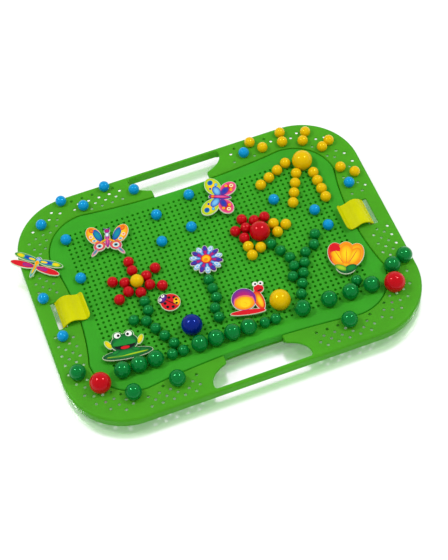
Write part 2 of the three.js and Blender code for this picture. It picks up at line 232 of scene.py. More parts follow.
FRAME_GREEN = plastic("frame_green", srgb(66, 141, 24), 0.44, 0.08, gloss=0.16, through=0.3)
PANEL_GREEN = plastic("panel_green", srgb(54, 149, 34), 0.44, 0.08, gloss=0.12, through=0.3)
CLIP_YELLOW = plastic("clip_yellow", srgb(198, 200, 0), 0.25, 0.03, 0.002, 0.2, shine=(1, 1, 0.4))
PIN_STEEL = steel("pin_steel")
PEG_MATERIALS = {
    "red": plastic("peg_red", srgb(190, 0, 18), 0.11, 0.02, 0.0012, 0.75, shine=(1, 0.2, 0.2)),
    "yellow": plastic("peg_yellow", srgb(224, 184, 0), 0.13, 0.02, 0.0016, 0.6, shine=(1, 0.9, 0.12)),
    "blue": plastic("peg_blue", srgb(0, 147, 208), 0.11, 0.02, 0.0012, 0.75, shine=(0.18, 0.7, 1)),
    "navy": plastic("peg_navy", srgb(0, 28, 126), 0.1, 0.02, 0.0012, 0.7, shine=(0.18, 0.3, 1)),
    "green": plastic("peg_green", srgb(0, 114, 42), 0.1, 0.02, 0.0024, 0.8, shine=(0.16, 1, 0.4)),
}
CARD_WHITE = plastic("figure_edge", srgb(206, 220, 186), 0.35, 0.04, 0.001)
INK = plastic("figure_print", (0.85, 0.85, 0.85, 1), 0.25, 0.03, colour_attribute="ink")


# ---------------------------------------------------------- outlines and solids
def arc(x, y, radius, start, steps):
    """Quarter of a circle, counter-clockwise from start degrees."""
    angles = [math.radians(start + 90 * i / steps) for i in range(steps + 1)]
    return [(x + radius * math.cos(a), y + radius * math.sin(a)) for a in angles]


def curve(points, steps):
    """Bezier curve through its two end points, drawn by its control points."""
    result = []
    degree = len(points) - 1
    for i in range(1, steps):
        t = i / steps
        weights = [math.comb(degree, k) * t ** k * (1 - t) ** (degree - k) for k in range(degree + 1)]
        result.append(tuple(sum(w * p[axis] for w, p in zip(weights, points)) for axis in (0, 1)))
    return result


def rounded_rectangle(x_min, x_max, y_min, y_max, radius, steps):
    return (
        arc(x_max - radius, y_max - radius, radius, 0, steps)
        + arc(x_min + radius, y_max - radius, radius, 90, steps)
        + arc(x_min + radius, y_min + radius, radius, 180, steps)
        + arc(x_max - radius, y_min + radius, radius, 270, steps)
    )


def frame_outline(steps=24):
    return rounded_rectangle(
        -FRAME_LENGTH / 2, FRAME_LENGTH / 2, -FRAME_WIDTH / 2, FRAME_WIDTH / 2, FRAME_CORNER, steps,
    )


def panel_outline(steps=16):
    """Rounded rectangle whose four sides are drawn in at the middle."""
    a, b, r = PANEL_LENGTH / 2, PANEL_WIDTH / 2, PANEL_CORNER
    x, y = a - r, b - r
    waist_x, waist_y = PANEL_WAIST_X, PANEL_WAIST_Y
    reach_x, reach_y = WAIST_REACH_X, WAIST_REACH_Y
    return (
        arc(x, y, r, 0, steps)
        + curve([(x, b), (reach_x, waist_y), (-reach_x, waist_y), (-x, b)], 2 * steps)
        + arc(-x, y, r, 90, steps)
        + curve([(-a, y), (-waist_x, reach_y), (-waist_x, -reach_y), (-a, -y)], 2 * steps)
        + arc(-x, -y, r, 180, steps)
        + curve([(-x, -b), (-reach_x, -waist_y), (reach_x, -waist_y), (x, -b)], 2 * steps)
        + arc(x, -y, r, 270, steps)
        + curve([(a, -y), (waist_x, -reach_y), (waist_x, reach_y), (a, y)], 2 * steps)
    )


def handle_outline(side, steps=10):
    """Hand hole behind a grip bar, with a notch that reaches the panel's edge."""
    notch_start, notch_end = (27, 91), (27, 97.5)
    shoulder, flank, grip_end = (29, 100.2), (43.5, 111), (41.5, 119.6)
    right = (
        [notch_start, notch_end]
        + curve([notch_end, (27, 99.8), shoulder], 4)
        + [shoulder]
        + curve([shoulder, (40, 104), flank], steps)
        + [flank]
        + curve([flank, (46.5, 119.6), grip_end], steps)
        + [grip_end]
    )
    left = [(-x, y) for x, y in reversed(right)]
    return [(x * side, y * side) for x, y in right + left]


def offset_loop(points, distance):
    """Moves every point of a counter-clockwise loop outwards, or inwards when negative."""
    count = len(points)
    moved = []
    for i, (x, y) in enumerate(points):
        before, after = Vector(points[i - 1]), Vector(points[(i + 1) % count])
        here = Vector((x, y))
        arriving = (here - before).normalized()
        leaving = (after - here).normalized()
        normal = Vector((arriving.y + leaving.y, -arriving.x - leaving.x)).normalized()
        stretch = 1 / max(0.5, normal.dot(Vector((leaving.y, -leaving.x))))
        moved.append((x + normal.x * distance * stretch, y + normal.y * distance * stretch))
    return moved


def circle(x, y, radius, sides):
    angles = [2 * math.pi * i / sides for i in range(sides)]
    return [(x + radius * math.cos(a), y + radius * math.sin(a)) for a in angles]


def make_object(name, vertices, faces):
    mesh = bpy.data.meshes.new(name)
    mesh.from_pydata([tuple(c * MM for c in v) for v in vertices], [], faces)
    mesh.validate()
    piece = bpy.data.objects.new(name, mesh)
    bpy.context.scene.collection.objects.link(piece)
    return piece


def add_stack(vertices, faces, loops):
    """Closes a stack of equal loops, given bottom first as (points, z), into a solid."""
    count = len(loops[0][0])
    start = len(vertices)
    for points, z in loops:
        vertices.extend((x, y, z) for x, y in points)
    for level in range(len(loops) - 1):
        low = start + level * count
        high = low + count
        for i in range(count):
            j = (i + 1) % count
            faces.append((low + i, low + j, high + j, high + i))
    last = start + (len(loops) - 1) * count
    faces.append(tuple(range(start + count - 1, start - 1, -1)))
    faces.append(tuple(range(last, last + count)))


def solid(name, outline, profile):
    """Solid whose outline grows or shrinks as it rises; profile lists (offset, z)."""
    vertices, faces = [], []
    add_stack(vertices, faces, [(offset_loop(outline, offset), z) for offset, z in profile])
    return make_object(name, vertices, faces)


def pins(name, places, profile, sides):
    """Many round pins in one mesh; profile lists (radius, z)."""
    vertices, faces = [], []
    for x, y in places:
        add_stack(vertices, faces, [(circle(x, y, radius, sides), z) for radius, z in profile])
    return make_object(name, vertices, faces)


def box(x_min, x_max, y_min, y_max, z_min, z_max):
    corners = [(x_max, y_max), (x_min, y_max), (x_min, y_min), (x_max, y_min)]
    return solid("box", corners, [(0, z_min), (0, z_max)])


def rod(x, y, z, radius, length, sides=24):
    """Round bar along Y with its middle at x, y, z."""
    piece = pins("rod", [(0, 0)], [(radius, -length / 2), (radius, length / 2)], sides)
    turn = Matrix.Rotation(math.radians(90), 4, "X")
    piece.data.transform(Matrix.Translation(Vector((x, y, z)) * MM) @ turn)
    return piece


def combine(base, other, operation="DIFFERENCE"):
    """Cuts other out of base, or joins it, and removes other."""
    modifier = base.modifiers.new("combine", "BOOLEAN")
    modifier.solver = "MANIFOLD"
    modifier.operation = operation
    modifier.object = other
    graph = bpy.context.evaluated_depsgraph_get()
    result = bpy.data.meshes.new_from_object(base.evaluated_get(graph))
    base.modifiers.clear()
    base.data = result
    bpy.data.objects.remove(other)
    return base


def smooth(piece, sharp_from=32):
    """Smooth shading, with edges over the angle kept crisp and flat faces kept flat."""
    piece.data.shade_smooth()
    piece.data.set_sharp_from_angle(angle=math.radians(sharp_from))
    weighted = piece.modifiers.new("flat faces stay flat", "WEIGHTED_NORMAL")
    weighted.keep_sharp = True
    weighted.weight = 90
    return piece


def quarter_round(radius, top, steps=5):
    """Profile of a rounded upper edge: from the wall up to the flat top."""
    angles = [math.radians(90 * i / steps) for i in range(steps + 1)]
    return [(radius * (math.cos(a) - 1), top + radius * (math.sin(a) - 1)) for a in angles]


def give(piece, body, slot, *nodes):
    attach(piece, body)
    if nodes:
        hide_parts(*nodes)


def paint(piece, *materials):
    piece.data.materials.clear()
    for material in materials:
        piece.data.materials.append(material)


# ------------------------------------------------------------------ peg layout
def hole(column, row):
    return FIRST_HOLE_X + column * PITCH, FIRST_HOLE_Y - row * PITCH, FIELD_TOP


def on_frame(x, y):
    return x, y, FRAME_TOP


DRAGONFLY_PLACE = (-150, 58)

# Pegs that slide out in the CAD model: node, size, colour, place, raise.
SLIDING_PEGS = [
    ("peg_sun_large_yellow", "large", "yellow", hole(46, 1), 0),
    ("peg_large_yellow", "large", "yellow", hole(31, 28), 0),
    ("peg_large_blue", "large", "navy", hole(15, 27), 0),
    ("peg_blossom_large_red", "large", "red", hole(33, 13), 0),
    ("peg_corner_left_large_red", "large", "red", on_frame(-134, -81), 0),
    ("peg_corner_right_large_red", "large", "red", on_frame(136.5, -81.5), 0),
    ("peg_flower_centre_yellow", "button", "yellow", hole(9, 15), BUTTON_RAISE),
    ("peg_medium_green_frame_left", "medium", "green", on_frame(-148.8, -63.3), 0),
    ("peg_medium_green_front_1", "medium", "green", on_frame(-110.5, -99.2), 0),
    ("peg_medium_green_front_2", "medium", "green", on_frame(85.5, -101.4), 0),
    ("peg_medium_green_frame_right", "medium", "green", on_frame(142.4, -63.2), 0),
    ("peg_medium_green_row_left", "medium", "green", hole(1, 31), EDGE_RAISE),
    ("peg_medium_green_row_right", "medium", "green", hole(39, 31), EDGE_RAISE),
    ("peg_small_blue_left", "small", "blue", hole(17, 2), 0),
    ("peg_small_blue_right", "small", "blue", hole(38, 7), 0),
    ("peg_small_red", "small", "red", hole(5, 13), 0),
    ("peg_small_yellow", "small", "yellow", hole(37, 3), 0),
    ("peg_small_green", "small", "green", hole(42, 17), 0),
]

# The rest of the picture: (column, row) in the field, or (x, y) on the frame.
FIELD_PEGS = {
    ("small", "blue"): [(0, 1), (16, 8), (22, 7), (24, 0), (0, 10), (44, 12), (45, 16)],
    ("small", "yellow"): [
        (39, 2), (41, 1), (43, 0),
        (44, 3), (43, 5), (42, 7), (41, 9),
        (47, 4), (47, 6), (47, 8), (47, 10),
        (36, 12), (36, 14), (38, 13),
        (30, 15), (30, 17), (32, 16),
    ],
    ("small", "red"): [
        (31, 9), (33, 10), (35, 10), (29, 11), (31, 11), (30, 13),
        (9, 10), (9, 12), (7, 14), (7, 16), (5, 17), (11, 14), (13, 13), (11, 16), (13, 17), (9, 17),
    ],
    ("small", "green"): [
        (9, 19), (9, 21), (8, 23), (6, 22), (9, 25), (10, 27), (11, 29), (10, 31), (12, 31),
        (21, 19), (21, 21), (21, 23), (20, 25), (20, 27),
        (34, 16), (35, 18), (36, 20), (36, 22), (35, 24), (37, 24), (36, 26), (35, 28),
        (41, 19), (39, 20), (38, 22),
        (45, 29), (27, 31), (29, 31),
    ],
}
FRONT_ROW_COLUMNS = (4, 7, 15, 18, 21, 24, 34, 43, 47)
FRAME_PEGS = {
    ("small", "blue"): [
        (-109.3, 117.4), (-67.2, 118), (-133.8, 98.4), (-91.5, 104.5), (-42.6, 104.2),
        (-154.8, 21), (-150, -22.8), (66, 105.2), (143, 35.8),
    ],
    ("small", "yellow"): [
        (75.4, 114.6), (84.3, 104.3), (105.6, 114.4), (103.8, 103.5), (128, 106.2),
        (122, 97.3), (144.5, 88.4), (136, 83.7), (142.5, 55.2), (152.6, 45.3),
    ],
    ("medium", "green"): [(-71.7, -100.4), (156.2, -57.6)],
}


# ---------------------------------------------------------------------- frame
def distance_to_loop(x, y, points):
    """Shortest distance from a point to a closed loop."""
    here = Vector((x, y))
    nearest = math.inf
    for i, end in enumerate(points):
        start, end = Vector(points[i - 1]), Vector(end)
        along = end - start
        t = max(0, min(1, (here - start).dot(along) / along.length_squared))
        nearest = min(nearest, (start + along * t - here).length)
    return nearest


def perforations(taken):
    """Staggered small holes that follow the flange, clear of handles, slots and pegs."""
    first_row, first_corner_row, row_step, rows, clearance = 7.5, 10.7, 5, 4, 3.4
    corner_start, corner_step, corner_count = 5.4, 17, 6
    half_length, half_width = FRAME_LENGTH / 2, FRAME_WIDTH / 2
    straight_x, straight_y = half_length - FRAME_CORNER, half_width - FRAME_CORNER
    handle_reach = 50
    most_along, most_across = 10, 6
    slot_margin_x, slot_margin_y, handle_margin, panel_margin = 4, 5.5, 4, 4.2
    spots = []
    for row in range(rows):
        inset = first_row + row * row_step
        shift = row_step * (row % 2)
        for i in range(-most_along, most_along + 1):
            x = i * 2 * PITCH + shift
            if handle_reach < abs(x) <= straight_x:
                spots += [(x, half_width - inset), (x, inset - half_width)]
        for i in range(-most_across, most_across + 1):
            y = i * 2 * PITCH + shift
            if abs(y) <= straight_y:
                spots += [(half_length - inset, y), (inset - half_length, y)]
        radius = FRAME_CORNER - first_corner_row - row * row_step
        for side_x in (-1, 1):
            for side_y in (-1, 1):
                for i in range(corner_count):
                    angle = math.radians(corner_start + corner_step * (i + 0.5 * (row % 2)))
                    if angle > math.pi / 2:
                        continue
                    x = side_x * (straight_x + radius * math.cos(angle))
                    y = side_y * (straight_y + radius * math.sin(angle))
                    spots.append((x, y))
    panel = panel_outline(6)
    handles = [handle_outline(side, 5) for side in (-1, 1)]
    kept = []
    for x, y in spots:
        beside_slot = abs(y - CLIP_Y) < SLOT_HALF + slot_margin_y
        near_slot = beside_slot and abs(x) > SLOT_INNER - slot_margin_x
        near_handle = any(distance_to_loop(x, y, loop) < handle_margin for loop in handles)
        near_panel = distance_to_loop(x, y, panel) < panel_margin
        crowded = any(math.hypot(x - a, y - b) < 2 * clearance for a, b in taken + kept)
        if not (near_slot or near_handle or near_panel or crowded):
            kept.append((x, y))
    return kept


def peg_sockets():
    """Centres of the stem holes in the flange."""
    places = sum(FRAME_PEGS.values(), [])
    places += [place[:2] for _, _, _, place, _ in SLIDING_PEGS if place[2] == FRAME_TOP]
    return places + [DRAGONFLY_PLACE]


def build_frame():
    outline = frame_outline()
    panel = panel_outline()
    above = FRAME_TOP + 3
    shell = solid("frame_shell", outline, [
        (-0.7, RIM_BOTTOM), (-0.2, RIM_BOTTOM + 0.2), (0, RIM_BOTTOM + 0.7),
        *quarter_round(RIM_ROUNDING, FRAME_TOP, 7),
    ])
    combine(shell, solid("cavity", outline, [
        (-RIM_WALL + 0.5, RIM_BOTTOM - 1), (-RIM_WALL, RIM_BOTTOM + 1),
        (-RIM_WALL - 0.3, PLATE_UNDERSIDE - 1.4), (-RIM_WALL - 1.7, PLATE_UNDERSIDE),
    ]))
    combine(shell, solid("gutter", panel, [(2.2, 5.6), (2.6, 6), (2.6, 15.8)]), "UNION")
    combine(shell, solid("gutter_groove", panel, [
        (0.4, 7.6), (0.7, 9), (0.7, FRAME_TOP - 0.8), (0.9, FRAME_TOP - 0.3),
        (1.3, FRAME_TOP), (1.3, above),
    ]))
    combine(shell, solid("well", panel, [(-3.4, 0), (-2.8, 0.25), (-2.6, 0.8), (-2.6, WELL_TOP)]), "UNION")
    combine(shell, solid("well_space", panel, [(-5.6, 2), (-4.8, 2.8), (-4.8, above)]))
    for side in (-1, 1):
        add_clip_seat(shell, side)
        add_handle(shell, side)
    drill_flange(shell)
    smooth(shell)
    paint(shell, FRAME_GREEN)
    give(shell, "root", "frame_green", "frame")


def add_handle(shell, side):
    """Grip bar, and the soft-edged hand hole behind it."""
    inner, outer = sorted((side * GRIP_INNER, side * (FRAME_WIDTH / 2 - 1.2)))
    grip = box(-GRIP_HALF_LENGTH, GRIP_HALF_LENGTH, inner, outer, RIM_BOTTOM + 0.1, FRAME_TOP - 1)
    combine(shell, grip, "UNION")
    combine(shell, solid("hand_hole", handle_outline(side), [
        (0.5, -1), (0.5, RIM_BOTTOM), (0, RIM_BOTTOM + 0.6), (0, FRAME_TOP - 1.2),
        (0.15, FRAME_TOP - 0.6), (0.5, FRAME_TOP - 0.15), (1.1, FRAME_TOP), (1.1, FRAME_TOP + 3),
    ]))


def drill_flange(shell):
    """Stem holes and perforations, each with a small chamfer at the top."""
    sockets = peg_sockets()
    below, above = PLATE_UNDERSIDE - 1.5, FRAME_TOP + 3
    drill = [
        (HOLE_RADIUS, below), (HOLE_RADIUS, FRAME_TOP - HOLE_CHAMFER),
        (HOLE_RADIUS + HOLE_CHAMFER, FRAME_TOP), (HOLE_RADIUS + HOLE_CHAMFER, above),
    ]
    combine(shell, pins("sockets", sockets, drill, FLANGE_HOLE_SIDES))
    relief = PERFORATION_RADIUS + PERFORATION_RELIEF
    drill = [
        (relief, below), (relief, FRAME_TOP - 1), (PERFORATION_RADIUS, FRAME_TOP - 0.8),
        (PERFORATION_RADIUS, FRAME_TOP - HOLE_CHAMFER),
        (PERFORATION_RADIUS + HOLE_CHAMFER, FRAME_TOP), (PERFORATION_RADIUS + HOLE_CHAMFER, above),
    ]
    combine(shell, pins("perforations", perforations(sockets), drill, FLANGE_HOLE_SIDES))


def add_clip_seat(shell, side):
    """Slot for the clip's barrel, between two blocks that hold its pin."""
    inner, outer = SLOT_HALF - LUG_OVERLAP, SLOT_HALF + LUG_WIDTH
    for near, far in ((inner, outer), (-outer, -inner)):
        x_min, x_max = sorted((side * SLOT_INNER, side * (SLOT_INNER + LUG_DEPTH)))
        block = box(x_min, x_max, CLIP_Y + near, CLIP_Y + far, LUG_BOTTOM, FRAME_TOP - 0.5)
        combine(shell, block, "UNION")
    x_min, x_max = sorted((side * SLOT_INNER, side * SLOT_OUTER))
    slot = rounded_rectangle(x_min, x_max, CLIP_Y - SLOT_HALF, CLIP_Y + SLOT_HALF, 0.6, 3)
    combine(shell, solid("slot", slot, [
        (0, 11.8), (0, FRAME_TOP - 0.4), (0.12, FRAME_TOP - 0.1), (0.4, FRAME_TOP), (0.4, FRAME_TOP + 3),
    ]))
    bore_length = 2 * (PIN_HALF_LENGTH + 0.3)
    combine(shell, rod(side * HINGE_X, CLIP_Y, HINGE_Z, PIN_BORE_RADIUS, bore_length))


# ---------------------------------------------------------------------- panel
def build_panel():
    outline = panel_outline()
    panel = solid("pegboard_shell", outline, [
        (-0.3, SKIRT_BOTTOM), (0, SKIRT_BOTTOM + 0.3), *quarter_round(1.5, FRAME_TOP, 6),
    ])
    combine(panel, solid("hollow", outline, [
        (-SKIRT_WALL, SKIRT_BOTTOM - 1), (-SKIRT_WALL, FIELD_UNDERSIDE - 0.8),
        (-SKIRT_WALL - 0.8, FIELD_UNDERSIDE),
    ]))
    field = rounded_rectangle(-FIELD_HALF_LENGTH, FIELD_HALF_LENGTH, FIELD_FRONT, FIELD_REAR, FIELD_CORNER, 8)
    combine(panel, solid("field", field, [
        (-0.6, FIELD_TOP), (0.6, FIELD_TOP + 0.15), (4.4, FRAME_TOP - 0.2),
        (5.0, FRAME_TOP - 0.05), (5.6, FRAME_TOP), (5.6, FRAME_TOP + 2),
    ]))
    places = [hole(column, row)[:2] for column in range(COLUMNS) for row in range(ROWS)]
    drill = [
        (HOLE_RADIUS, FIELD_UNDERSIDE - 1), (HOLE_RADIUS, FIELD_TOP - 0.15),
        (HOLE_RADIUS + 0.15, FIELD_TOP), (HOLE_RADIUS + 0.15, FIELD_TOP + 1),
    ]
    combine(panel, pins("field_holes", places, drill, FIELD_HOLE_SIDES))
    smooth(panel)
    paint(panel, PANEL_GREEN)
    give(panel, "root", "panel_green", "pegboard_panel")


# ---------------------------------------------------------------------- clips
CLIP_LINE = [
    (145.2, 17.2), (142.6, 20.1), (138.5, 22.2), (134.5, 21.9), (130.5, 19.7), (127.3, 18.5),
    (124.9, 18.5), (123.5, 19.7), (121.6, 22),
]


def through_points(points, steps):
    """Smooth curve through the points (Catmull-Rom)."""
    padded = [points[0], *points, points[-1]]
    result = []
    for i in range(len(points) - 1):
        p0, p1, p2, p3 = (Vector(p) for p in padded[i:i + 4])
        for k in range(steps):
            t = k / steps
            result.append(0.5 * (
                2 * p1 + (p2 - p0) * t + (2 * p0 - 5 * p1 + 4 * p2 - p3) * t * t
                + (3 * p1 - p0 - 3 * p2 + p3) * t ** 3
            ))
    result.append(Vector(points[-1]))
    return result


def clip_leaf(side, name):
    """S-shaped leaf with rounded edges, its outer corners rounded in plan."""
    line = through_points(CLIP_LINE, 6)
    corner = LEAF_CORNER
    edge = CLIP_THICKNESS / 2
    section = rounded_rectangle(-1, 1, -edge, edge, edge * 0.9, 4)
    vertices, faces = [], []
    lengths = [0]
    for before, here in zip(line, line[1:]):
        lengths.append(lengths[-1] + (here - before).length)
    total = lengths[-1]
    for i, here in enumerate(line):
        along = (line[min(i + 1, len(line) - 1)] - line[max(i - 1, 0)]).normalized()
        normal = Vector((along.y, -along.x))
        tip = max(0, corner - (total - lengths[i]))
        half = CLIP_HALF_WIDTH - corner + math.sqrt(max(0, corner ** 2 - tip ** 2))
        for across, up in section:
            end = 1 if across > 0 else -1
            place = half * end + (across - end)
            x = here.x + normal.x * up
            z = here.y + normal.y * up
            vertices.append((side * x, CLIP_Y + place, z))
    count = len(section)
    for level in range(len(line) - 1):
        low = level * count
        for i in range(count):
            j = (i + 1) % count
            faces.append((low + i, low + j, low + count + j, low + count + i))
    faces.append(tuple(range(count - 1, -1, -1)))
    faces.append(tuple(range(len(vertices) - count, len(vertices))))
    leaf = make_object(name, vertices, faces)
    work = bmesh.new()
    work.from_mesh(leaf.data)
    bmesh.ops.recalc_face_normals(work, faces=work.faces)
    work.to_mesh(leaf.data)
    work.free()
    return leaf


def build_clip(side, node):
    """Leaf joined to a hollow hinge barrel."""
    leaf = clip_leaf(side, f"{node}_leaf")
    width = 2 * CLIP_HALF_WIDTH
    combine(leaf, rod(side * HINGE_X, CLIP_Y, HINGE_Z, BARREL_RADIUS, width - 0.2, 32), "UNION")
    combine(leaf, rod(side * HINGE_X, CLIP_Y, HINGE_Z, PIN_BORE_RADIUS, width + 4))
    smooth(leaf, 40)
    paint(leaf, CLIP_YELLOW)
    give(leaf, node, "clip_yellow", node)


# ----------------------------------------------------------------------- pegs
def peg_profile(radius, base):
    """Half section of a peg from stem to crown, as (radius, z)."""
    edge = HEAD_EDGE * radius
    start = HEAD_EDGE_TURN - math.asin(HEAD_CENTRE)
    flat = radius * math.cos(start) - edge
    profile = [
        (0.5, -STEM_LENGTH), (0.85, -STEM_LENGTH + 0.15), (STEM_RADIUS, -STEM_LENGTH + 0.7),
        (STEM_RADIUS, base - 0.25), (STEM_RADIUS + 0.08, base - 0.08), (STEM_RADIUS + 0.25, base),
        (flat, base), (flat + 0.6 * edge, base + 0.12 * edge),
    ]
    rings = 15
    for i in range(rings):
        angle = start + (math.pi / 2 - start) * i / rings
        profile.append((radius * math.cos(angle), base + radius * (HEAD_CENTRE + math.sin(angle))))
    return profile


def peg_mesh(size, lift):
    """Turned mushroom: pointed stem, fillet, flat underside, rolled edge and ball."""
    radius = HEAD_RADIUS[size]
    base = HEAD_GAP + lift
    profile = peg_profile(radius, base)
    sides = 40
    vertices = [(0, 0, -STEM_LENGTH)]
    faces = []
    for ring_radius, z in profile:
        vertices.extend((x, y, z) for x, y in circle(0, 0, ring_radius, sides))
    top = len(vertices)
    vertices.append((0, 0, base + radius * (HEAD_CENTRE + 1)))
    for i in range(sides):
        j = (i + 1) % sides
        faces.append((0, 1 + j, 1 + i))
        for ring in range(len(profile) - 1):
            low = 1 + ring * sides
            faces.append((low + i, low + j, low + sides + j, low + sides + i))
        faces.append((top - sides + i, top - sides + j, top))
    mesh = bpy.data.meshes.new(f"peg_{size}")
    mesh.from_pydata([tuple(c * MM for c in v) for v in vertices], [], faces)
    mesh.shade_smooth()
    mesh.set_sharp_from_angle(angle=math.radians(50))
    return mesh


PEG_MESHES = {}


def place_peg(name, size, colour, place, lift, body="root", node=None):
    """One peg, given a random quarter turn about its stem; pegs that look alike share a mesh."""
    key = (size, colour, lift)
    if key not in PEG_MESHES:
        mesh = peg_mesh(size, lift)
        mesh.materials.append(PEG_MATERIALS[colour])
        PEG_MESHES[key] = mesh
    peg = bpy.data.objects.new(name, PEG_MESHES[key])
    bpy.context.scene.collection.objects.link(peg)
    peg.location = Vector(place) * MM
    peg.rotation_euler.z = math.radians(90 * random.randrange(4))
    give(peg, body, f"peg_{colour}", *([node] if node else []))


def build_pegs():
    for node, size, colour, place, lift in SLIDING_PEGS:
        place_peg(f"{node}_head", size, colour, place, lift, node, node)
    for (size, colour), spots in FIELD_PEGS.items():
        for number, (column, row) in enumerate(spots, 1):
            place_peg(f"field_{size}_{colour}_{number:02d}", size, colour, hole(column, row), 0)
    for number, column in enumerate(FRONT_ROW_COLUMNS, 1):
        name = f"front_row_medium_green_{number:02d}"
        place_peg(name, "medium", "green", hole(column, ROWS - 1), EDGE_RAISE)
    for (size, colour), spots in FRAME_PEGS.items():
        for number, (x, y) in enumerate(spots, 1):
            place_peg(f"frame_{size}_{colour}_{number:02d}", size, colour, on_frame(x, y), 0)


# -------------------------------------------------------------------- figures
def ellipse(x, y, half_x, half_y, turn, sides=36):
    """Ellipse round x, y, turned counter-clockwise by turn degrees."""
    angle = math.radians(turn)
    points = []
    for i in range(sides):
        t = 2 * math.pi * i / sides
        u = half_x * math.cos(t)
        v = half_y * math.sin(t)
        points.append((x + u * math.cos(angle) - v * math.sin(angle),
                       y + u * math.sin(angle) + v * math.cos(angle)))
    return points


def both_sides(*patches):
    """Repeats each printed patch mirrored in the figure's own centre line."""
    result = []
    for x, y, half_x, half_y, turn, rim, heart in patches:
        result.append((x, y, half_x, half_y, turn, rim, heart))
        result.append((-x, y, half_x, half_y, 180 - turn, rim, heart))
    return result


def petals(count, distance, half_x, half_y, *tones):
    """Patches set evenly round the middle, in alternating tones."""
    result = []
    for i in range(count):
        turn = 360 * i / count
        angle = math.radians(turn)
        rim, heart = tones[i % len(tones)]
        x, y = distance * math.cos(angle), distance * math.sin(angle)
        result.append((x, y, half_x, half_y, turn, rim, heart))
    return result


WHITE, BLACK = srgb(250, 250, 245), srgb(18, 14, 18)
YELLOW, ORANGE, RED = srgb(255, 214, 20), srgb(250, 140, 10), srgb(222, 16, 32)
PINK, MAGENTA, PURPLE = srgb(240, 90, 150), srgb(200, 24, 110), srgb(104, 44, 150)
BLUE, SKY, TEAL = srgb(24, 60, 176), srgb(120, 196, 244), srgb(10, 150, 170)
GREEN, LIME, DARK_GREEN = srgb(20, 140, 50), srgb(170, 214, 30), srgb(4, 86, 40)

